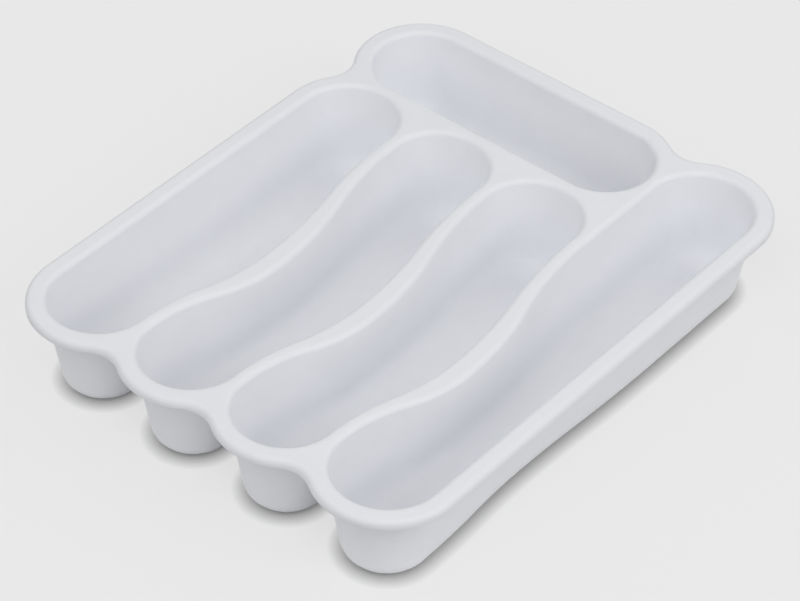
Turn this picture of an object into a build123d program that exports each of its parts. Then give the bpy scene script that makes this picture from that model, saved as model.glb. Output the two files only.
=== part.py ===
from build123d import *
import math
import os

# Five-compartment cutlery tray: a single thin-walled plastic moulding, modelled in the regions it
# is made of. X runs across the long compartments, Y from their front ends to the rear, Z up from
# the table. The origin is on the table, under the middle of the rim.

# Plan of the compartments, taken where their walls would meet the top of the tray
compartment_width = 56.0
full_length_width = 58.2
compartment_length = 250.0
divider_width = 7.2
rear_divider_width = 7.6
rear_compartment_width = 56.2
short_columns = 3

# Waves of the dividers: how far each side of a divider swings to the right, and where
left_wall_swing = 18.3
right_wall_swing = 13.3
crest_from_front = 106.0

# Section of the moulding
tray_height = 56.0
wall = 1.8
draft_angle = 8.5
floor_radius = 7.0
lip_radius = 3.2
lip_share_of_divider = 0.46
seam_below_lip = 0.8

# Outer rim
rim_width = 10.7
rim_radius = 3.2
skirt_depth = 5.5
notch_radius = 18.4

# Sizes that follow from those above
columns = short_columns + 1
pitch = compartment_width + divider_width
columns_width = short_columns * pitch + full_length_width
rear_length = short_columns * pitch - divider_width
rear_end_radius = rear_compartment_width / 2
plan_length = compartment_length + rear_divider_width + rear_compartment_width
left_edge = -columns_width / 2
front_edge = -plan_length / 2
rear_edge = plan_length / 2
short_rear_edge = front_edge + compartment_length
rear_centre_y = rear_edge - rear_end_radius
crest_y = front_edge + crest_from_front
wall_across = wall / math.cos(math.radians(draft_angle))
lip = min(lip_radius, lip_share_of_divider * min(divider_width, rear_divider_width))
seam_z = tray_height - lip - seam_below_lip
skirt_z = tray_height - skirt_depth


class Column:
    """Plan of one long compartment, with its width, its ends and how far its sides swing."""

    def __init__(self, index):
        is_full_length = index == short_columns
        self.radius = (full_length_width if is_full_length else compartment_width) / 2
        self.left = left_edge + index * pitch
        self.right = self.left + 2 * self.radius
        self.centre_x = self.left + self.radius
        self.rear = rear_edge if is_full_length else short_rear_edge
        self.front_y = front_edge + self.radius
        self.rear_y = self.rear - self.radius
        self.wave_end_y = short_rear_edge - compartment_width / 2
        self.left_swing = left_wall_swing if index > 0 else 0
        self.right_swing = 0 if is_full_length else right_wall_swing

    def wave(self, x, end_y, swing):
        """Two equal tangent arcs that carry a side from a straight end out to the wave's crest."""
        turn = (x + swing / 2, (end_y + crest_y) / 2)
        leaving = TangentArc((x, end_y), turn, tangent=(0, crest_y - end_y))
        arriving = TangentArc((x + swing, crest_y), turn, tangent=(0, end_y - crest_y))
        return [leaving, arriving]

    def side(self, x, swing):
        """One side: straight, or waved as far back as the short compartments reach."""
        if not swing:
            return [Line((x, self.front_y), (x, self.rear_y))]
        edges = self.wave(x, self.front_y, swing) + self.wave(x, self.wave_end_y, swing)
        if self.rear_y > self.wave_end_y:
            edges.append(Line((x, self.wave_end_y), (x, self.rear_y)))
        return edges

    def outline(self):
        """The closed plan, with a round end at the front and at the rear."""
        front_tip = (self.centre_x, front_edge)
        rear_tip = (self.centre_x, self.rear)
        front_end = ThreePointArc((self.left, self.front_y), front_tip, (self.right, self.front_y))
        rear_end = ThreePointArc((self.right, self.rear_y), rear_tip, (self.left, self.rear_y))
        sides = self.side(self.left, self.left_swing) + self.side(self.right, self.right_swing)
        return make_face(Wire([front_end, rear_end] + sides))


def rear_outline():
    """Plan of the compartment that lies across the rear of the short ones."""
    centre = (left_edge + rear_length / 2, rear_centre_y)
    return Pos(*centre) * SlotOverall(rear_length, rear_compartment_width)


def crossing(first, first_radius, second, second_radius):
    """Where two circles cross, on the right of the way from the first centre to the second."""
    between = second - first
    apart = between.length
    along = (apart**2 + first_radius**2 - second_radius**2) / (2 * apart)
    across = math.sqrt(first_radius**2 - along**2)
    forward = between.normalized()
    return first + forward * along + forward.rotate(Axis.Z, -90) * across


def rim_outline(margin, corner_radius):
    """Every compartment widened by the margin, with the notches between them rounded."""
    plans = [Column(index) for index in range(columns)]
    first, last = plans[0], plans[-1]
    fill_middle = ((first.centre_x + last.centre_x) / 2, (first.front_y + last.rear_y) / 2)
    outline = Pos(*fill_middle) * Rectangle(last.centre_x - first.centre_x, last.rear_y - first.front_y)
    for plan in plans:
        lobe = SlotCenterToCenter(plan.rear_y - plan.front_y, 2 * (plan.radius + margin), rotation=90)
        outline += Pos(plan.centre_x, (plan.front_y + plan.rear_y) / 2) * lobe
    rear_lobe = SlotOverall(rear_length + 2 * margin, rear_compartment_width + 2 * margin)
    outline += Pos(left_edge + rear_length / 2, rear_centre_y) * rear_lobe

    notches = []
    for plan, neighbour in zip(plans, plans[1:]):
        centre = Vector(plan.centre_x, plan.front_y)
        neighbour_centre = Vector(neighbour.centre_x, neighbour.front_y)
        notches.append(crossing(centre, plan.radius + margin, neighbour_centre, neighbour.radius + margin))
    rear_radius = rear_end_radius + margin
    rear_right = Vector(left_edge + rear_length - rear_end_radius, rear_centre_y)
    rear_left = Vector(left_edge + rear_end_radius, rear_centre_y)
    last_rear = Vector(last.centre_x, last.rear_y)
    first_rear = Vector(first.centre_x, first.rear_y)
    notches.append(crossing(last_rear, last.radius + margin, rear_right, rear_radius))
    notches.append(crossing(rear_left, rear_radius, first_rear, first.radius + margin))
    corners = [outline.vertices().sort_by_distance(notch)[0] for notch in notches]
    return fillet(corners, corner_radius)


def hanging(outline, depth):
    """A solid hung from the top of the tray and drawn in by the draft as it goes down."""
    core = extrude(outline, amount=depth, taper=draft_angle)
    return Pos(0, 0, tray_height) * mirror(core, Plane.XY)


def rounded_below(solid, radius):
    """The same solid with the edge round its lowest face rounded."""
    return fillet(solid.faces().sort_by(Axis.Z)[0].edges(), radius)


def rim_slab(margin, corner_radius, edge_radius, thickness):
    """A slab of the rim's plan that stands on the skirt's lower edge, rounded above."""
    slab = extrude(Pos(0, 0, skirt_z) * rim_outline(margin, corner_radius), amount=thickness)
    return fillet(slab.faces().sort_by(Axis.Z)[-1].edges(), edge_radius)


def compartment_outlines():
    """The name and plan of every compartment."""
    return {
        "left_compartment": Column(0).outline(),
        "centre_left_compartment": Column(1).outline(),
        "centre_right_compartment": Column(2).outline(),
        "full_length_compartment": Column(3).outline(),
        "rear_compartment": rear_outline(),
    }


def below_seam():
    """Everything lower than the level where the compartments meet the deck."""
    size = 2 * (plan_length + columns_width)
    return Pos(0, 0, seam_z - size / 2) * Box(size, size, size)


def compartment(outline):
    """One thin-walled cup below the seam, open at the top."""
    outside = rounded_below(hanging(offset(outline, wall_across), tray_height), floor_radius + wall)
    inside = rounded_below(hanging(outline, tray_height - wall), floor_radius)
    return (outside - inside) & below_seam()


def rim_deck(outlines):
    """The deck with its rolled rim, the tops of the compartment walls and their rounded lips."""
    skin = rim_slab(rim_width, notch_radius, rim_radius, skirt_depth)
    hollow = rim_slab(rim_width - wall, notch_radius + wall, rim_radius - wall, skirt_depth - wall)
    deck = skin - hollow
    for outline in outlines:
        deck += hanging(offset(outline, wall_across), tray_height - seam_z)
    for outline in outlines:
        deck -= hanging(outline, tray_height)
    top = deck.faces().filter_by(Axis.Z).sort_by(Axis.Z)[-1]
    mouths = [edge for wire in top.inner_wires() for edge in wire.edges()]
    return fillet(mouths, lip)


def export(node, solid):
    """Writes one region of the moulding to its own file."""
    export_step(solid, os.path.join("parts", node + ".step"))


os.makedirs("parts", exist_ok=True)
outlines = compartment_outlines()
for name, outline in outlines.items():
    export(name, compartment(outline))
export("rim_deck", rim_deck(outlines.values()))
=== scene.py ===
"""Looks of the cutlery tray: one satin moulding of five cups under a scalloped rim, in soft light."""

import logging
import math
from dataclasses import dataclass, replace
from enum import Enum

import bmesh
import bpy
from mathutils import Matrix, Vector


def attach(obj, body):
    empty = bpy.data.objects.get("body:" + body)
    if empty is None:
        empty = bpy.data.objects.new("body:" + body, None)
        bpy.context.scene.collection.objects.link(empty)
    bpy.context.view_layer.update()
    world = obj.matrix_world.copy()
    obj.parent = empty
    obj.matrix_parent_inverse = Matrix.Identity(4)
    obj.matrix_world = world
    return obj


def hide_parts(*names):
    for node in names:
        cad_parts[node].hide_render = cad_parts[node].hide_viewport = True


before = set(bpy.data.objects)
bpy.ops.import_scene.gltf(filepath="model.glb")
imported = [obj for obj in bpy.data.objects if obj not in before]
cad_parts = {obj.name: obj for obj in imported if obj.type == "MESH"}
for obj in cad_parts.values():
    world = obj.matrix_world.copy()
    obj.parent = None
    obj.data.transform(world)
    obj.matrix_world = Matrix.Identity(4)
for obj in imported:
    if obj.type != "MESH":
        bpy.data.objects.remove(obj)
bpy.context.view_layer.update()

log = logging.getLogger("cutlery_tray")

MM = 0.001
UP = Vector((0, 0, 1))
WELD = 0.001 * MM


@dataclass(frozen=True)
class MouldSizes:
    """Driving sizes of the moulding, in metres, and its draft in radians."""

    compartment_width: float = 56.0 * MM
    full_length_width: float = 58.2 * MM
    compartment_length: float = 250.0 * MM
    divider_width: float = 7.2 * MM
    rear_divider_width: float = 7.6 * MM
    rear_compartment_width: float = 56.2 * MM
    short_columns: int = 3
    left_wall_swing: float = 18.3 * MM
    right_wall_swing: float = 13.3 * MM
    crest_from_front: float = 106.0 * MM
    tray_height: float = 56.0 * MM
    wall: float = 1.8 * MM
    draft: float = math.radians(8.5)
    floor_radius: float = 7.0 * MM
    lip_radius: float = 3.2 * MM
    seam_below_lip: float = 0.8 * MM
    rim_width: float = 10.7 * MM
    rim_radius: float = 3.2 * MM
    skirt_depth: float = 5.5 * MM
    notch_radius: float = 18.4 * MM

    @property
    def pitch(self) -> float:
        """Step from one long compartment to the next."""
        return self.compartment_width + self.divider_width

    @property
    def left_edge(self) -> float:
        """Left side of the first compartment's plan."""
        return -(self.short_columns * self.pitch + self.full_length_width) / 2

    @property
    def rear_length(self) -> float:
        """Length of the compartment across the rear."""
        return self.short_columns * self.pitch - self.divider_width

    @property
    def rear_edge(self) -> float:
        """Rear of the full-length and the rear compartment's plans."""
        return (self.compartment_length + self.rear_divider_width + self.rear_compartment_width) / 2

    @property
    def front_edge(self) -> float:
        """Front of every long compartment's plan."""
        return -self.rear_edge

    @property
    def short_rear_edge(self) -> float:
        """Rear of the short compartments' plans."""
        return self.front_edge + self.compartment_length

    @property
    def crest_y(self) -> float:
        """Where the dividers swing furthest."""
        return self.front_edge + self.crest_from_front

    @property
    def seam_height(self) -> float:
        """Height at which the deck's region ends and the cups' begin."""
        return self.tray_height - self.lip_radius - self.seam_below_lip


@dataclass(frozen=True)
class Arc:
    """One round stretch of an outline, walked from a start angle through a signed sweep."""

    centre: Vector
    radius: float
    start: float
    sweep: float

    @property
    def start_point(self) -> Vector:
        """Where the arc begins, at the centre's height."""
        return self.centre + Vector((math.cos(self.start), math.sin(self.start), 0)) * self.radius

    def offset(self, outwards: float) -> "Arc":
        """The same arc on an outline moved outwards.

        Args:
            outwards: How far the counter-clockwise outline moves, in metres.

        Returns:
            The arc with its radius changed; its centre and angles stay.
        """
        return replace(self, radius=self.radius + math.copysign(outwards, self.sweep))


def wave(start: Vector, end: Vector) -> list[Arc]:
    """Two equal tangent arcs between two points, straight along Y at both ends.

    Args:
        start: Where the wave begins.
        end: Where it ends, to one side of the start.

    Returns:
        The two arcs, in the order walked.
    """
    swing, run = end.x - start.x, end.y - start.y
    side = math.copysign(1, swing)
    radius = (run**2 + swing**2) / (4 * abs(swing))
    turn = 2 * math.atan(abs(swing / run)) * side * math.copysign(1, run)
    towards, away = (math.pi, 0.0) if side > 0 else (0.0, math.pi)
    leaving = Arc(start + Vector((side * radius, 0, 0)), radius, towards, -turn)
    arriving = Arc(end - Vector((side * radius, 0, 0)), radius, away - turn, turn)
    return [leaving, arriving]


def angle_of(vector: Vector) -> float:
    """Direction of a vector in plan, in radians from +X."""
    return math.atan2(vector.y, vector.x)


def share_of(length: float, whole: float) -> float:
    """How much of a whole a length is, kept between nothing and all of it."""
    return min(max(length / whole, 0.0), 1.0)


@dataclass(frozen=True)
class Lobe:
    """A convex round corner of the rim, and whether a notch parts it from the next one."""

    centre: Vector
    radius: float
    notched_after: bool


@dataclass(frozen=True)
class Side:
    """One side of a long compartment: where it is straight, and how its wave swings to the right."""

    x: float
    swing: float
    front_y: float
    crest_y: float
    rear_y: float

    def arcs(self, rearwards: bool) -> list[Arc]:
        """Walks the side's wave out to its crest and back.

        Args:
            rearwards: Whether the walk starts at the front.

        Returns:
            The arcs in the order walked, none if the side is straight.
        """
        if not self.swing:
            return []
        ends = [Vector((self.x, self.front_y, 0)), Vector((self.x, self.rear_y, 0))]
        start, end = ends if rearwards else reversed(ends)
        crest = Vector((self.x + self.swing, self.crest_y, 0))
        return wave(start, crest) + wave(crest, end)

    def swing_at(self, y: float) -> float:
        """How far the side has swung at a place along the tray.

        Args:
            y: The place, in metres.

        Returns:
            The swing there, in metres, between nothing and the crest's.
        """
        if not self.swing or not self.front_y < y < self.rear_y:
            return 0.0
        end_y = self.front_y if y < self.crest_y else self.rear_y
        run = abs(self.crest_y - end_y)
        radius = (run**2 + self.swing**2) / (4 * self.swing)
        from_end, from_crest = abs(y - end_y), abs(y - self.crest_y)
        if from_end < from_crest:
            return radius - math.sqrt(radius**2 - from_end**2)
        return self.swing - radius + math.sqrt(radius**2 - from_crest**2)


@dataclass(frozen=True)
class TrayPlan:
    """Outlines of the tray seen from above, each a closed counter-clockwise list of arcs."""

    sizes: MouldSizes

    def is_full_length(self, index: int) -> bool:
        """Whether a long compartment is the last one, counted from 0 at the left."""
        return index == self.sizes.short_columns

    def end_radius(self, index: int) -> float:
        """Radius of a long compartment's round ends, which is half its width."""
        s = self.sizes
        return (s.full_length_width if self.is_full_length(index) else s.compartment_width) / 2

    def end_centres(self, index: int) -> tuple[Vector, Vector]:
        """Centres of a long compartment's front and rear ends.

        Args:
            index: 0 for the left compartment, up to the full-length one on the right.

        Returns:
            The front end's centre and the rear end's.
        """
        s = self.sizes
        radius = self.end_radius(index)
        x = s.left_edge + index * s.pitch + radius
        rear_edge = s.rear_edge if self.is_full_length(index) else s.short_rear_edge
        return Vector((x, s.front_edge + radius, 0)), Vector((x, rear_edge - radius, 0))

    def column(self, index: int) -> list[Arc]:
        """Outline of one long compartment.

        Args:
            index: 0 for the left compartment, up to the full-length one on the right.

        Returns:
            The arcs of the outline, which straight lines join where they don't meet.
        """
        radius = self.end_radius(index)
        front, rear = self.end_centres(index)
        left, right = self.sides(index)
        front_end = Arc(front, radius, math.pi, math.pi)
        rear_end = Arc(rear, radius, 0, math.pi)
        return [front_end, *right.arcs(rearwards=True), rear_end, *left.arcs(rearwards=False)]

    def sides(self, index: int) -> tuple[Side, Side]:
        """Both sides of one long compartment.

        Args:
            index: 0 for the left compartment, up to the full-length one on the right.

        Returns:
            The left side and the right side.
        """
        s = self.sizes
        radius = self.end_radius(index)
        left = s.left_edge + index * s.pitch
        span = (s.front_edge + radius, s.crest_y, s.short_rear_edge - s.compartment_width / 2)
        left_swing = s.left_wall_swing if index > 0 else 0.0
        right_swing = 0.0 if self.is_full_length(index) else s.right_wall_swing
        return Side(left, left_swing, *span), Side(left + 2 * radius, right_swing, *span)

    def rear(self) -> list[Arc]:
        """Outline of the compartment across the rear."""
        left, right = self.rear_centres()
        radius = self.sizes.rear_compartment_width / 2
        return [Arc(right, radius, -math.pi / 2, math.pi), Arc(left, radius, math.pi / 2, math.pi)]

    def rear_centres(self) -> tuple[Vector, Vector]:
        """Centres of the rear compartment's left and right ends."""
        s = self.sizes
        radius = s.rear_compartment_width / 2
        y = s.rear_edge - radius
        left = Vector((s.left_edge + radius, y, 0))
        return left, Vector((s.left_edge + s.rear_length - radius, y, 0))

    def rim(self) -> list[Arc]:
        """Outside of the rim: lobes round the ends of the compartments, with notches between them."""
        s = self.sizes
        columns = range(s.short_columns + 1)
        fronts, rears = zip(*[self.end_centres(index) for index in columns])
        radii = [self.end_radius(index) + s.rim_width for index in columns]
        rear_left, rear_right = self.rear_centres()
        rear_radius = s.rear_compartment_width / 2 + s.rim_width
        lobes = [
            Lobe(fronts[index], radii[index], notched_after=not self.is_full_length(index))
            for index in columns]
        lobes += [
            Lobe(rears[-1], radii[-1], notched_after=True),
            Lobe(rear_right, rear_radius, notched_after=False),
            Lobe(rear_left, rear_radius, notched_after=True),
            Lobe(rears[0], radii[0], notched_after=False),
        ]
        return self.around(lobes)

    def around(self, lobes: list[Lobe]) -> list[Arc]:
        """Joins lobes by notches or straight lines.

        Args:
            lobes: The convex corners, counter-clockwise.

        Returns:
            The arcs of the closed outline.
        """
        leaves, arrives, notches = [], [], []
        for lobe, following in zip(lobes, lobes[1:] + lobes[:1]):
            between = following.centre - lobe.centre
            if not lobe.notched_after:
                straight = angle_of(between) - math.pi / 2
                leaves.append(straight)
                arrives.append(straight)
                notches.append(None)
                continue
            notch = self.notch_centre(lobe, following)
            leaves.append(angle_of(notch - lobe.centre))
            arrives.append(angle_of(notch - following.centre))
            start = angle_of(lobe.centre - notch)
            sweep = (start - angle_of(following.centre - notch)) % math.tau
            notches.append(Arc(notch, self.sizes.notch_radius, start, -sweep))
        arcs = []
        for index, lobe in enumerate(lobes):
            arrive = arrives[index - 1]
            arcs.append(Arc(lobe.centre, lobe.radius, arrive, (leaves[index] - arrive) % math.tau))
            if notches[index]:
                arcs.append(notches[index])
        return arcs

    def notch_centre(self, lobe: Lobe, following: Lobe) -> Vector:
        """Centre of the notch that touches two lobes from outside.

        Args:
            lobe: The lobe before the notch.
            following: The lobe after it.

        Returns:
            The centre, on the right of the way from one lobe to the other.
        """
        between = following.centre - lobe.centre
        reach = lobe.radius + self.sizes.notch_radius
        other_reach = following.radius + self.sizes.notch_radius
        along = (between.length**2 + reach**2 - other_reach**2) / (2 * between.length)
        across = math.sqrt(reach**2 - along**2)
        forward = between.normalized()
        return lobe.centre + forward * along + Vector((forward.y, -forward.x, 0)) * across


@dataclass(frozen=True)
class Step:
    """One point of a section: how far in from the outline, how high, and with how much spare wall."""

    inset: float
    height: float
    spare: float = 0.0


@dataclass(frozen=True)
class TraySection:
    """Sections of the moulding's upper skin, which the outlines are pressed to."""

    sizes: MouldSizes
    margin: float = 0.25 * MM
    trough_radius: float = 16.0 * MM
    lip_steps: int = 10
    rim_steps: int = 9
    floor_steps: int = 10
    wall_steps: int = 8

    @property
    def lean(self) -> float:
        """How far the walls move in for each unit of depth."""
        return math.tan(self.sizes.draft)

    @property
    def lip_reach(self) -> float:
        """How far outside its outline a compartment's lip meets the flat deck."""
        return self.sizes.lip_radius * math.tan(math.pi / 4 - self.sizes.draft / 2)

    def rim(self) -> list[Step]:
        """From the skirt's lower edge up over the rolled rim to the flat deck."""
        s = self.sizes
        centre = Step(s.rim_radius, s.tray_height - s.rim_radius)
        steps = [Step(0, s.tray_height - s.skirt_depth)]
        for k in range(self.rim_steps + 1):
            angle = math.pi / 2 * k / self.rim_steps
            inset = centre.inset - s.rim_radius * math.cos(angle)
            steps.append(Step(inset, centre.height + s.rim_radius * math.sin(angle)))
        steps.append(Step(s.rim_radius + self.margin, s.tray_height))
        return steps

    def cup(self) -> list[Step]:
        """From the flat deck over the lip, down the drafted wall and round to the floor."""
        s = self.sizes
        reach = self.lip_reach
        steps = [Step(-reach - self.margin, s.tray_height)]
        for k in range(self.lip_steps + 1):
            angle = (math.pi / 2 - s.draft) * k / self.lip_steps
            inset = s.lip_radius * math.sin(angle) - reach
            steps.append(Step(inset, s.tray_height - s.lip_radius * (1 - math.cos(angle))))
        radius = self.trough_radius
        centre_height = s.wall + radius
        centre_inset = (s.tray_height - centre_height) * self.lean + radius / math.cos(s.draft)
        wall_foot = centre_height - radius * math.sin(s.draft)
        for k in range(self.wall_steps):
            height = s.seam_height + (wall_foot - s.seam_height) * k / self.wall_steps
            steps.append(Step((s.tray_height - height) * self.lean, height))
        for k in range(self.floor_steps + 1):
            angle = s.draft + (math.pi / 2 - s.draft) * k / self.floor_steps
            inset = centre_inset - radius * math.cos(angle)
            steps.append(Step(inset, centre_height - radius * math.sin(angle), self.spare_wall(angle)))
        return steps

    def spare_wall(self, angle: float) -> float:
        """How much thicker a cup is between its wide inner rounding and its sharper outer foot.

        Args:
            angle: Direction from the inner rounding's centre, down from level, in radians.

        Returns:
            The thickness beyond the wall's, in metres.
        """
        s = self.sizes
        reach = self.trough_radius + s.wall
        foot = s.floor_radius + s.wall
        half = (math.pi / 2 - s.draft) / 2
        off = abs(angle - s.draft - half)
        apart = (reach - foot) / math.cos(half)
        if half - off < math.atan(apart * math.sin(half) / reach):
            return reach / math.cos(half - off) - reach
        return apart * math.cos(off) + math.sqrt(foot**2 - (apart * math.sin(off)) ** 2) - reach


class Region(Enum):
    """Regions of the moulding, each named after the node that it stands for."""

    RIM_DECK = "rim_deck"
    LEFT = "left_compartment"
    CENTRE_LEFT = "centre_left_compartment"
    CENTRE_RIGHT = "centre_right_compartment"
    FULL_LENGTH = "full_length_compartment"
    REAR = "rear_compartment"


@dataclass
class TrayMoulding:
    """The whole moulding, pressed as one sheet and then parted into its regions."""

    sizes: MouldSizes
    longest_chord: float = 2.0 * MM
    longest_straight: float = 12.0 * MM
    longest_turn: float = math.radians(4)
    hard_edge: float = math.radians(40)
    skirt_outer_radius: float = 1.3 * MM
    skirt_inner_radius: float = 0.35 * MM
    skirt_edge_segments: int = 5
    straight_below: float = 9.0 * MM
    straightened_share: float = 0.7
    easing_share: float = 0.25

    def build(self) -> dict[Region, bpy.types.Object]:
        """Models every region as a closed piece.

        Returns:
            The object of each region.
        """
        plan = TrayPlan(self.sizes)
        section = TraySection(self.sizes)
        sheet = bmesh.new()
        sheet.faces.layers.int.new("region")
        sheet.verts.layers.float.new("spare")
        self.press(sheet, self.trace(sheet, plan.rim()), section.rim(), Region.RIM_DECK, keep_cap=False)
        columns = (Region.LEFT, Region.CENTRE_LEFT, Region.CENTRE_RIGHT, Region.FULL_LENGTH)
        outlines = {region: plan.column(index) for index, region in enumerate(columns)}
        outlines[Region.REAR] = plan.rear()
        steps = section.cup()
        for region, outline in outlines.items():
            widened = [arc.offset(-steps[0].inset) for arc in outline]
            self.press(sheet, self.trace(sheet, widened), steps, region)
        for index, region in enumerate(columns):
            self.straighten(sheet, region, plan.sides(index))
        self.fill_deck(sheet)
        pieces = {region: self.part(sheet, region) for region in Region}
        sheet.free()
        return pieces

    def trace(self, sheet: bmesh.types.BMesh, arcs: list[Arc]) -> bmesh.types.BMFace:
        """Draws a closed outline by spinning a vertex round each arc, and fills it.

        Args:
            sheet: The mesh to draw in.
            arcs: The outline, counter-clockwise.

        Returns:
            The filled face, facing up.
        """
        first = sheet.verts.new(arcs[0].start_point)
        tip, drawn = first, [first]
        for arc in arcs:
            tip = self.run_straight(sheet, tip, arc.start_point, drawn)
            swept = abs(arc.sweep)
            steps = math.ceil(max(swept / self.longest_turn, swept * arc.radius / self.longest_chord))
            for _ in range(steps):
                spun = bmesh.ops.spin(
                    sheet, geom=[tip], cent=arc.centre, axis=UP, dvec=Vector(), angle=arc.sweep / steps,
                    steps=1, use_merge=False, use_normal_flip=False, use_duplicate=False)
                tip = next(item for item in spun["geom_last"] if isinstance(item, bmesh.types.BMVert))
                drawn.append(tip)
        self.run_straight(sheet, tip, first.co, drawn)
        bmesh.ops.remove_doubles(sheet, verts=drawn, dist=WELD)
        edges = {edge for vert in drawn if vert.is_valid for edge in vert.link_edges}
        face = bmesh.ops.contextual_create(sheet, geom=list(edges))["faces"][0]
        face.normal_update()
        if face.normal.z < 0:
            bmesh.ops.reverse_faces(sheet, faces=[face])
        return face

    def run_straight(
            self, sheet: bmesh.types.BMesh, tip: bmesh.types.BMVert, end: Vector,
            drawn: list[bmesh.types.BMVert]) -> bmesh.types.BMVert:
        """Extrudes the last vertex in a straight line, if it isn't there yet.

        Args:
            sheet: The mesh to draw in.
            tip: The last vertex drawn.
            end: Where the line ends.
            drawn: The vertices drawn so far, which grows.

        Returns:
            The vertex at the end of the line.
        """
        way = end - tip.co
        if way.length < WELD:
            return tip
        steps = math.ceil(way.length / self.longest_straight)
        for _ in range(steps):
            made = bmesh.ops.extrude_vert_indiv(sheet, verts=[tip])["verts"]
            bmesh.ops.translate(sheet, verts=made, vec=way / steps)
            tip = made[0]
            drawn.append(tip)
        return tip

    def press(
            self, sheet: bmesh.types.BMesh, cap: bmesh.types.BMFace, steps: list[Step], region: Region,
            keep_cap: bool = True) -> None:
        """Insets a filled outline step by step along a section.

        Args:
            sheet: The mesh that holds the outline.
            cap: The filled outline, facing up.
            steps: The section, from the outline inwards.
            region: What the faces below the seam belong to.
            keep_cap: Whether the last face stays, as a floor does.
        """
        layer = sheet.faces.layers.int["region"]
        spare = sheet.verts.layers.float["spare"]
        names = list(Region)
        bmesh.ops.translate(sheet, verts=cap.verts[:], vec=UP * steps[0].height)
        for before, after in zip(steps, steps[1:]):
            inwards, upwards = after.inset - before.inset, after.height - before.height
            ring = bmesh.ops.inset_region(
                sheet, faces=[cap], thickness=inwards, depth=upwards,
                use_boundary=True, use_even_offset=True)["faces"]
            middle = (before.height + after.height) / 2
            owner = region if middle < self.sizes.seam_height else Region.RIM_DECK
            for face in ring:
                face[layer] = names.index(owner)
            for vert in cap.verts:
                vert[spare] = after.spare
        cap[layer] = names.index(region)
        if not keep_cap:
            bmesh.ops.delete(sheet, geom=[cap], context="FACES_ONLY")

    def straighten(self, sheet: bmesh.types.BMesh, region: Region, sides: tuple[Side, Side]) -> None:
        """Draws a cup straight towards its floor, so that only its top waves.

        Args:
            sheet: The mesh with the cup pressed.
            region: The cup's region.
            sides: Its left and right side.
        """
        number = list(Region).index(region)
        layer = sheet.faces.layers.int["region"]
        verts = {vert for face in sheet.faces if face[layer] == number for vert in face.verts}
        left, right = sides
        run = self.sizes.seam_height - self.straight_below
        for vert in verts:
            left_swing, right_swing = left.swing_at(vert.co.y), right.swing_at(vert.co.y)
            left_x, right_x = left.x + left_swing, right.x + right_swing
            across = share_of(vert.co.x - left_x, right_x - left_x)
            swing = left_swing * (1 - across) + right_swing * across
            depth = self.eased(share_of(self.sizes.seam_height - vert.co.z, run))
            vert.co.x -= depth * swing * self.straightened_share

    def eased(self, depth: float) -> float:
        """Lets the straightening start gently, so that no crease shows below the lips.

        Args:
            depth: 0 at the seam and 1 where the cup is as straight as it gets.

        Returns:
            The same range, level at its start.
        """
        start = self.easing_share
        if depth < start:
            return depth**2 / (start * (2 - start))
        return (2 * depth - start) / (2 - start)

    def fill_deck(self, sheet: bmesh.types.BMesh) -> None:
        """Fills the flat deck between the rim and the lips.

        Args:
            sheet: The mesh with the rim and the cups pressed.
        """
        level = self.sizes.tray_height - WELD
        edges = [e for e in sheet.edges if e.is_boundary and min(v.co.z for v in e.verts) > level]
        made = bmesh.ops.triangle_fill(sheet, use_beauty=True, use_dissolve=False, edges=edges, normal=UP)
        deck = [item for item in made["geom"] if isinstance(item, bmesh.types.BMFace)]
        downward = [face for face in deck if face.normal.z < 0]
        if downward:
            bmesh.ops.reverse_faces(sheet, faces=downward)

    def part(self, sheet: bmesh.types.BMesh, region: Region) -> bpy.types.Object:
        """Copies one region out of the sheet and gives it its wall.

        Args:
            sheet: The whole sheet.
            region: The region to copy.

        Returns:
            The region's object.
        """
        skin = sheet.copy()
        layer = skin.faces.layers.int["region"]
        number = list(Region).index(region)
        others = [face for face in skin.faces if face[layer] != number]
        bmesh.ops.delete(skin, geom=others, context="FACES")
        outer = self.skirt_edges(skin)
        inside = set(skin.verts)
        bmesh.ops.solidify(skin, geom=skin.faces[:], thickness=self.sizes.wall)
        skin.normal_update()
        self.fill_feet(skin, [vert for vert in skin.verts if vert not in inside])
        if region is Region.RIM_DECK:
            known = set(outer)
            inner = [edge for edge in self.skirt_edges(skin) if edge not in known]
            self.ease(skin, outer, self.skirt_outer_radius)
            self.ease(skin, inner, self.skirt_inner_radius)
        for face in skin.faces:
            face.smooth = True
        for edge in skin.edges:
            edge.smooth = edge.calc_face_angle(0) < self.hard_edge
        mesh = bpy.data.meshes.new(region.value + "_skin")
        skin.to_mesh(mesh)
        skin.free()
        piece = bpy.data.objects.new(region.value + "_skin", mesh)
        bpy.context.scene.collection.objects.link(piece)
        return piece

    def fill_feet(self, skin: bmesh.types.BMesh, outside: list[bmesh.types.BMVert]) -> None:
        """Pushes the outer skin out to the sharper rounding of the cups' feet.

        Args:
            skin: The region, with its wall.
            outside: The vertices of its outer skin.
        """
        spare = skin.verts.layers.float["spare"]
        normals = {vert: vert.normal.copy() for vert in outside if vert[spare] > WELD}
        for vert, normal in normals.items():
            vert.co += normal * vert[spare]
            vert.co.z = max(vert.co.z, 0.0)
        skin.normal_update()

    def skirt_edges(self, skin: bmesh.types.BMesh) -> list[bmesh.types.BMEdge]:
        """Finds the edges at the foot of the rim's skirt.

        Args:
            skin: The rim deck, with or without its wall.

        Returns:
            The open edges and the corners there, without those that only cross the foot.
        """
        level = self.sizes.tray_height - self.sizes.skirt_depth
        foot = [e for e in skin.edges if all(abs(v.co.z - level) < WELD for v in e.verts)]
        return [e for e in foot if e.is_boundary or e.calc_face_angle(0) > self.hard_edge]

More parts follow.
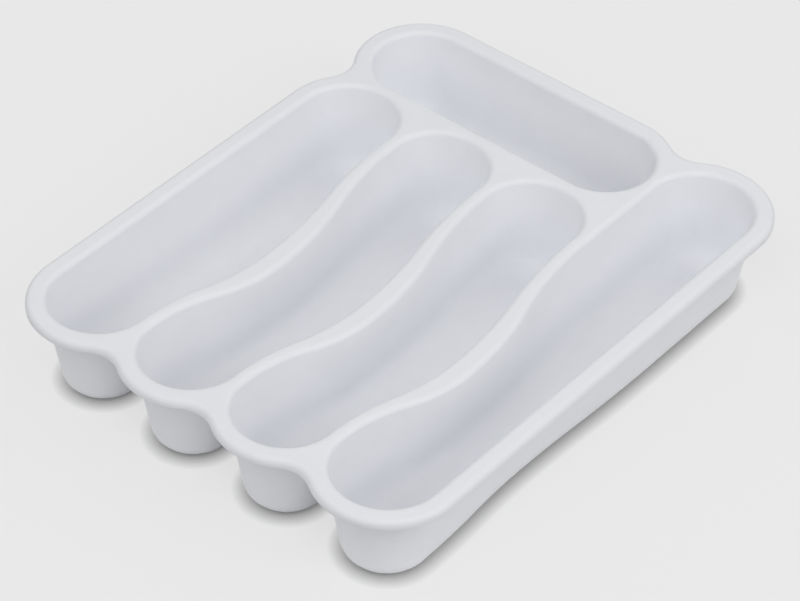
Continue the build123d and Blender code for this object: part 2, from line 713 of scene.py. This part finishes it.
    def ease(self, skin: bmesh.types.BMesh, edges: list[bmesh.types.BMEdge], radius: float) -> None:
        """Rounds some edges.

        Args:
            skin: The mesh that holds them.
            edges: The edges.
            radius: How far the rounding reaches on both sides, in metres.
        """
        bmesh.ops.bevel(
            skin, geom=edges, offset=radius, offset_type="OFFSET", affect="EDGES",
            segments=self.skirt_edge_segments, profile=0.5, material=-1, clamp_overlap=True)


SocketValue = bpy.types.NodeSocket | float | tuple[float, ...]


def grey(level: float) -> tuple[float, float, float, float]:
    """An opaque grey of one level, as colour sockets take it."""
    return level, level, level, 1.0


class NodeDesk:
    """Short ways to lay nodes in a tree and to wire them."""

    def __init__(self, tree: bpy.types.NodeTree) -> None:
        """Takes the tree to work on."""
        self.tree = tree

    def add(
            self, kind: str, inputs: dict[str | int, SocketValue] | None = None,
            **fields: object) -> bpy.types.Node:
        """Adds a node, sets its options and feeds its inputs.

        Args:
            kind: Blender's name of the node type, without the leading ShaderNode.
            inputs: What each input takes: a value, or the output that feeds it.
            **fields: Options of the node.

        Returns:
            The node.
        """
        node = self.tree.nodes.new("ShaderNode" + kind)
        for name, value in fields.items():
            setattr(node, name, value)
        for socket, value in (inputs or {}).items():
            self.feed(node.inputs[socket], value)
        return node

    def feed(self, socket: bpy.types.NodeSocket, value: SocketValue) -> None:
        """Sets an input, or links an output to it.

        Args:
            socket: The input.
            value: The value that it takes, or the output that feeds it.
        """
        if isinstance(value, bpy.types.NodeSocket):
            self.tree.links.new(value, socket)
        else:
            socket.default_value = value

    def math(self, operation: str, *values: SocketValue) -> bpy.types.NodeSocket:
        """Adds a Math node and gives back its output."""
        return self.add("Math", dict(enumerate(values)), operation=operation).outputs[0]

    def noise(self, place: SocketValue, scale: SocketValue, detail: float) -> bpy.types.NodeSocket:
        """Adds a noise texture and gives back its grey output."""
        return self.add("TexNoise", {"Vector": place, "Scale": scale, "Detail": detail}).outputs["Fac"]

    def blend(
            self, share: SocketValue, first: bpy.types.Node,
            second: bpy.types.Node) -> bpy.types.Node:
        """Adds a Mix Shader node that goes from the first shader to the second with the share."""
        return self.add("MixShader", {0: share, 1: first.outputs[0], 2: second.outputs[0]})

    def blend_colours(
            self, share: SocketValue, first: tuple[float, ...],
            second: tuple[float, ...]) -> bpy.types.NodeSocket:
        """Mixes two colours.

        Args:
            share: How much of the second colour is in the mix.
            first: The colour at a share of 0.
            second: The colour at a share of 1.

        Returns:
            The mixed colour.
        """
        mix = self.add("Mix", {"Factor": share}, data_type="RGBA")
        sockets = {socket.identifier: socket for socket in [*mix.inputs, *mix.outputs]}
        self.feed(sockets["A_Color"], first)
        self.feed(sockets["B_Color"], second)
        return sockets["Result_Color"]


class Effect:
    """Shader node groups that finishes share."""

    FINE_CELLS_IN_A_SLOW_ONE = 9.0
    FINE_DETAIL = 2.0
    SLOW_DETAIL = 3.0
    GRAIN_DETAIL = 4.0
    GRAIN_ROUGHNESS = 0.6
    SCUFF_DETAIL = 5.0
    SCUFFS_START_AT = 0.35
    SCUFFS_FULL_AT = 0.65

    @staticmethod
    def begin(name: str, inputs: dict[str, float], outputs: list[str]) -> tuple[NodeDesk, bpy.types.Node]:
        """Starts a group with number sockets and a vector socket for the place on the surface.

        Args:
            name: The group's name.
            inputs: Its number inputs, with their defaults.
            outputs: Its number outputs.

        Returns:
            The desk to lay its nodes on, and the node that brings its inputs in.
        """
        group = bpy.data.node_groups.new(name, "ShaderNodeTree")
        group.interface.new_socket("Place", in_out="INPUT", socket_type="NodeSocketVector")
        for socket, value in inputs.items():
            made = group.interface.new_socket(socket, in_out="INPUT", socket_type="NodeSocketFloat")
            made.default_value = value
        for socket in outputs:
            group.interface.new_socket(socket, in_out="OUTPUT", socket_type="NodeSocketFloat")
        return NodeDesk(group), group.nodes.new("NodeGroupInput")

    @staticmethod
    def end(desk: NodeDesk, outputs: dict[str, bpy.types.NodeSocket]) -> bpy.types.NodeTree:
        """Wires a group's outputs.

        Args:
            desk: The group's desk.
            outputs: What feeds each output.

        Returns:
            The finished group.
        """
        out = desk.tree.nodes.new("NodeGroupOutput")
        for socket, value in outputs.items():
            desk.feed(out.inputs[socket], value)
        return desk.tree

    @classmethod
    def mottle(cls) -> bpy.types.NodeTree:
        """Slow and fine unevenness of a moulded surface.

        Returns:
            The group, whose mask lies round a half.
        """
        desk, given = cls.begin("moulded_mottle", {"Cell": 2.0 * MM, "Fine Share": 0.4}, ["Mask"])
        place = given.outputs["Place"]
        scale = desk.math("DIVIDE", 1.0, given.outputs["Cell"])
        fine = desk.noise(place, scale, cls.FINE_DETAIL)
        slow = desk.noise(place, desk.math("DIVIDE", scale, cls.FINE_CELLS_IN_A_SLOW_ONE), cls.SLOW_DETAIL)
        mixed = desk.add("Mix", {"Factor": given.outputs["Fine Share"], "A": slow, "B": fine})
        return cls.end(desk, {"Mask": mixed.outputs["Result"]})

    @classmethod
    def spark_grain(cls) -> bpy.types.NodeTree:
        """Fine pitted texture that a spark-eroded mould leaves.

        Returns:
            The group, whose height is in metres.
        """
        desk, given = cls.begin("spark_grain", {"Cell": 0.3 * MM, "Depth": 0.002 * MM}, ["Height"])
        scale = desk.math("DIVIDE", 1.0, given.outputs["Cell"])
        pits = desk.add("TexNoise", {
            "Vector": given.outputs["Place"], "Scale": scale,
            "Detail": cls.GRAIN_DETAIL, "Roughness": cls.GRAIN_ROUGHNESS})
        height = desk.math("MULTIPLY", pits.outputs["Fac"], given.outputs["Depth"])
        return cls.end(desk, {"Height": height})

    @classmethod
    def rubbed_band(cls) -> bpy.types.NodeTree:
        """Band of heights that hands and drawers rub, broken up by noise.

        Returns:
            The group, whose mask is 1 where the surface is rubbed.
        """
        desk, given = cls.begin(
            "rubbed_band", {"Starts At": 50.0 * MM, "Full At": 56.0 * MM, "Cell": 6.0 * MM}, ["Mask"])
        place = given.outputs["Place"]
        height = desk.add("SeparateXYZ", {"Vector": place}).outputs["Z"]
        band = desk.add("MapRange", {
            "Value": height, "From Min": given.outputs["Starts At"],
            "From Max": given.outputs["Full At"]})
        scale = desk.math("DIVIDE", 1.0, given.outputs["Cell"])
        broken = desk.add("MapRange", {
            "Value": desk.noise(place, scale, cls.SCUFF_DETAIL), "From Min": cls.SCUFFS_START_AT,
            "From Max": cls.SCUFFS_FULL_AT})
        mask = desk.math("MULTIPLY", band.outputs["Result"], broken.outputs["Result"])
        return cls.end(desk, {"Mask": mask})


@dataclass(frozen=True)
class SatinPlastic:
    """The tray's finish: cool white plastic, satin from the mould and a little rubbed on top."""

    slot: str = "tray_plastic"
    colour: tuple[float, float, float] = (0.89, 0.90, 0.93)
    tone_spread: float = 0.03
    roughness: float = 0.55
    gloss_spread: float = 0.16
    rubbed_gloss: float = 0.10
    mottle_cell: float = 1.6 * MM
    grain_cell: float = 0.35 * MM
    grain_depth: float = 0.003 * MM
    sink_cell: float = 24.0 * MM
    sink_depth: float = 0.02 * MM
    sink_detail: float = 1.0
    rim_starts: float = 51.0 * MM
    rim_full: float = 56.0 * MM
    foot_starts: float = 2.5 * MM
    foot_full: float = 0.0

    def build(self) -> bpy.types.Material:
        """Makes the material.

        Returns:
            The material, with its nodes.
        """
        material = bpy.data.materials.new("satin_tray_plastic")
        material.use_nodes = True
        desk = NodeDesk(material.node_tree)
        shader = material.node_tree.nodes["Principled BSDF"]
        place = desk.add("TexCoord").outputs["Object"]
        cells = {"Place": place, "Cell": self.mottle_cell}
        mottle = desk.add("Group", cells, node_tree=Effect.mottle()).outputs["Mask"]
        desk.feed(shader.inputs["Base Color"], self.tone(desk, mottle))
        uneven = desk.add("MapRange", {
            "Value": mottle, "To Min": self.roughness - self.gloss_spread,
            "To Max": self.roughness + self.gloss_spread}).outputs["Result"]
        polish = desk.math("MULTIPLY", self.rubbed(desk, place), self.rubbed_gloss)
        desk.feed(shader.inputs["Roughness"], desk.math("SUBTRACT", uneven, polish))
        desk.feed(shader.inputs["Normal"], self.relief(desk, place))
        return material

    def rubbed(self, desk: NodeDesk, place: bpy.types.NodeSocket) -> bpy.types.NodeSocket:
        """Marks what hands rub at the rim and what the drawer rubs under the feet.

        Args:
            desk: The material's desk.
            place: Object coordinates.

        Returns:
            The mask.
        """
        band = Effect.rubbed_band()
        heights = ((self.rim_starts, self.rim_full), (self.foot_starts, self.foot_full))
        masks = [
            desk.add("Group", {"Place": place, "Starts At": start, "Full At": full}, node_tree=band)
            for start, full in heights]
        return desk.math("MAXIMUM", *[mask.outputs["Mask"] for mask in masks])

    def tone(self, desk: NodeDesk, mask: bpy.types.NodeSocket) -> bpy.types.NodeSocket:
        """Varies the colour a little to both sides of the finish's own.

        Args:
            desk: The material's desk.
            mask: The mottle.

        Returns:
            The colour.
        """
        darker = tuple(value * (1 - self.tone_spread) for value in self.colour)
        paler = tuple(min(value * (1 + self.tone_spread), 1.0) for value in self.colour)
        return desk.blend_colours(mask, (*darker, 1.0), (*paler, 1.0))

    def relief(self, desk: NodeDesk, place: bpy.types.NodeSocket) -> bpy.types.NodeSocket:
        """Adds up the slow sink of the walls and the mould's grain.

        Args:
            desk: The material's desk.
            place: Object coordinates.

        Returns:
            The bent normal.
        """
        cut = {"Place": place, "Cell": self.grain_cell, "Depth": self.grain_depth}
        grain = desk.add("Group", cut, node_tree=Effect.spark_grain())
        sink = desk.noise(place, 1 / self.sink_cell, self.sink_detail)
        height = desk.math("ADD", desk.math("MULTIPLY", sink, self.sink_depth), grain.outputs["Height"])
        return desk.add("Bump", {"Height": height, "Distance": 1.0}).outputs["Normal"]


@dataclass(frozen=True)
class SoftBox:
    """One large square lamp that looks at the tray: its angles in degrees and its power in watts."""

    name: str
    azimuth: float
    elevation: float
    power: float
    size: float = 1.2
    distance: float = 2.4
    aim_height: float = 30 * MM

    def build(self) -> None:
        """Hangs the lamp."""
        data = bpy.data.lights.new(self.name, "AREA")
        data.shape = "SQUARE"
        data.size = self.size
        data.energy = self.power
        azimuth, elevation = math.radians(self.azimuth), math.radians(self.elevation)
        flat_way = Vector((math.cos(azimuth), math.sin(azimuth), 0))
        way = flat_way * math.cos(elevation) + UP * math.sin(elevation)
        lamp = bpy.data.objects.new(self.name, data)
        turn = way.to_track_quat("Z", "Y").to_matrix().to_4x4()
        lamp.matrix_world = Matrix.Translation(UP * self.aim_height + way * self.distance) @ turn
        bpy.context.scene.collection.objects.link(lamp)


@dataclass(frozen=True)
class Studio:
    """Pale floor, soft light and the camera that stands where the photograph's did."""

    azimuth: float = math.radians(39.2)
    elevation: float = math.radians(41.5)
    roll: float = math.radians(1.1)
    distance: float = 1668 * MM
    aim: tuple[float, float, float] = (22.3 * MM, -32.2 * MM, 56.0 * MM)
    lens: float = 147.15
    sensor: float = 36.0
    nearest_seen: float = 16.68 * MM
    farthest_seen: float = 33.36
    floor_half: float = 4.0
    floor_tone: float = 0.806
    floor_roughness: float = 0.9
    backdrop: float = 0.815
    # Share of the shown floor that the lamps light, and how bright they make a white floor
    shown_lit: float = 0.25
    lit_level: float = 0.82
    # Reach and samples of the ambient occlusion that darkens the floor's glow near the tray: a painted
    # contact shadow
    painted_shadow_reach: float = 8.5 * MM
    painted_shadow_samples: int = 16
    # What the floor throws back on the tray, near it and far away, and where that fades: its colour is
    # painted paler near the tray, a painted pool of light
    painted_pool_near: float = 0.85
    painted_pool_far: float = 0.15
    painted_pool_full_to: float = 220 * MM
    painted_pool_gone_by: float = 450 * MM
    sky: float = 0.34
    boxes: tuple[SoftBox, ...] = (
        SoftBox("key_box", 300, 62, 8.5),
        SoftBox("right_box", 0, 38, 11.3),
        SoftBox("low_box", 25, 22, 4.8),
        SoftBox("rear_box", 100, 50, 5.9),
        SoftBox("left_box", 200, 40, 5.2),
        SoftBox("front_box", 270, 31, 7.6),
    )

    def build(self) -> None:
        """Sets up the camera, the floor and the light."""
        self.camera()
        self.floor()
        self.light()

    def camera(self) -> None:
        """Places the camera at the photograph's angle."""
        data = bpy.data.cameras.new("photo_camera")
        data.lens = self.lens
        data.sensor_width = self.sensor
        data.clip_start = self.nearest_seen
        data.clip_end = self.farthest_seen
        camera = bpy.data.objects.new("photo_camera", data)
        right = Vector((math.cos(self.azimuth), math.sin(self.azimuth), 0))
        flat_back = Vector((right.y, -right.x, 0))
        back = flat_back * math.cos(self.elevation) + UP * math.sin(self.elevation)
        above = back.cross(right)
        cosine, sine = math.cos(self.roll), math.sin(self.roll)
        axes = Matrix((right * cosine + above * sine, above * cosine - right * sine, back)).transposed()
        camera.matrix_world = Matrix.Translation(Vector(self.aim) + back * self.distance) @ axes.to_4x4()
        bpy.context.scene.collection.objects.link(camera)
        bpy.context.scene.camera = camera

    def floor(self) -> None:
        """Lays the pale floor."""
        bm = bmesh.new()
        bmesh.ops.create_grid(bm, x_segments=1, y_segments=1, size=self.floor_half)
        mesh = bpy.data.meshes.new("floor")
        bm.to_mesh(mesh)
        bm.free()
        floor = bpy.data.objects.new("floor", mesh)
        bpy.context.scene.collection.objects.link(floor)
        mesh.materials.append(self.paper())

    def paper(self) -> bpy.types.Material:
        """Makes the floor's paper, which lights the tray as it is lit and shows as the pale background;
        near the tray that background is darkened partly by the lamps' real shadow and partly by painted
        shade from ambient occlusion.

        Returns:
            The material.
        """
        material = bpy.data.materials.new("floor_paper")
        material.use_nodes = True
        desk = NodeDesk(material.node_tree)
        lit = material.node_tree.nodes["Principled BSDF"]
        desk.feed(lit.inputs["Base Color"], grey(self.floor_tone))
        desk.feed(lit.inputs["Roughness"], self.floor_roughness)
        # Colour that the paper throws back on the tray: a painted pool of light, paler near the tray and
        # darker away from it
        painted_pool_bounced = desk.add("BsdfDiffuse", {"Color": self.painted_pool_bounce(desk)})
        # The glow that shows as the background is darkened by ambient occlusion near the tray, a painted
        # contact shadow; the lit share keeps the lamps' real shadow
        near = desk.add("AmbientOcclusion", {"Distance": self.painted_shadow_reach}, samples=self.painted_shadow_samples)
        glow = desk.add("Emission", {"Strength": near.outputs["AO"], "Color": grey(self.glow)})
        shown = desk.blend(self.shown_lit, glow, lit)
        surface = desk.blend(self.seen(desk), painted_pool_bounced, shown)
        desk.feed(material.node_tree.nodes["Material Output"].inputs["Surface"], surface.outputs[0])
        return material

    def painted_pool_bounce(self, desk: NodeDesk) -> bpy.types.NodeSocket:
        """Paints the paper paler near the tray and darker away from it, a painted pool of light that fades
        what it throws back on the tray to the level of a dim room.

        Args:
            desk: The paper's desk.

        Returns:
            The grey, paler near the tray.
        """
        place = desk.add("TexCoord").outputs["Object"]
        away = desk.add("VectorMath", {0: place}, operation="LENGTH").outputs["Value"]
        return desk.add("MapRange", {
            "Value": away, "From Min": self.painted_pool_full_to, "From Max": self.painted_pool_gone_by,
            "To Min": self.painted_pool_near, "To Max": self.painted_pool_far}).outputs["Result"]

    @property
    def glow(self) -> float:
        """Brightness that the floor gives itself, so that with its lit share it shows as the backdrop."""
        lit = self.floor_tone * self.lit_level
        return (self.backdrop - self.shown_lit * lit) / (1 - self.shown_lit)

    def seen(self, desk: NodeDesk) -> bpy.types.NodeSocket:
        """Tells the rays that show the background from those that only light the tray.

        Args:
            desk: The desk of the paper or of the sky.

        Returns:
            1 on camera rays and on those of reflections, and else 0.
        """
        path = desk.add("LightPath").outputs
        mirrored = desk.math("MAXIMUM", path["Is Glossy Ray"], path["Is Transmission Ray"])
        return desk.math("MAXIMUM", path["Is Camera Ray"], mirrored)

    def light(self) -> None:
        """Lights the tray from a dim even sky and from soft boxes."""
        world = bpy.data.worlds.new("soft_sky")
        world.use_nodes = True
        desk = NodeDesk(world.node_tree)
        sky = world.node_tree.nodes["Background"]
        desk.feed(sky.inputs["Color"], grey(1.0))
        desk.feed(sky.inputs["Strength"], self.sky)
        shown = desk.add("Background", {"Color": grey(self.backdrop), "Strength": 1.0})
        mixed = desk.blend(self.seen(desk), sky, shown)
        desk.feed(world.node_tree.nodes["World Output"].inputs["Surface"], mixed.outputs[0])
        for box in self.boxes:
            box.build()
        bpy.context.scene.world = world
        bpy.context.scene.view_settings.view_transform = "Standard"


def main() -> None:
    """Builds the tray's pieces, dresses them and sets up the studio."""
    logging.basicConfig(level=logging.INFO, format="%(name)s: %(message)s")
    finish = SatinPlastic()
    plastic = finish.build()
    for region, piece in TrayMoulding(MouldSizes()).build().items():
        piece.data.materials.append(plastic)
        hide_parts(region.value)
        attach(piece, "root")
        log.info("%s: %d faces", piece.name, len(piece.data.polygons))
    Studio().build()


if __name__ == "__main__":
    main()
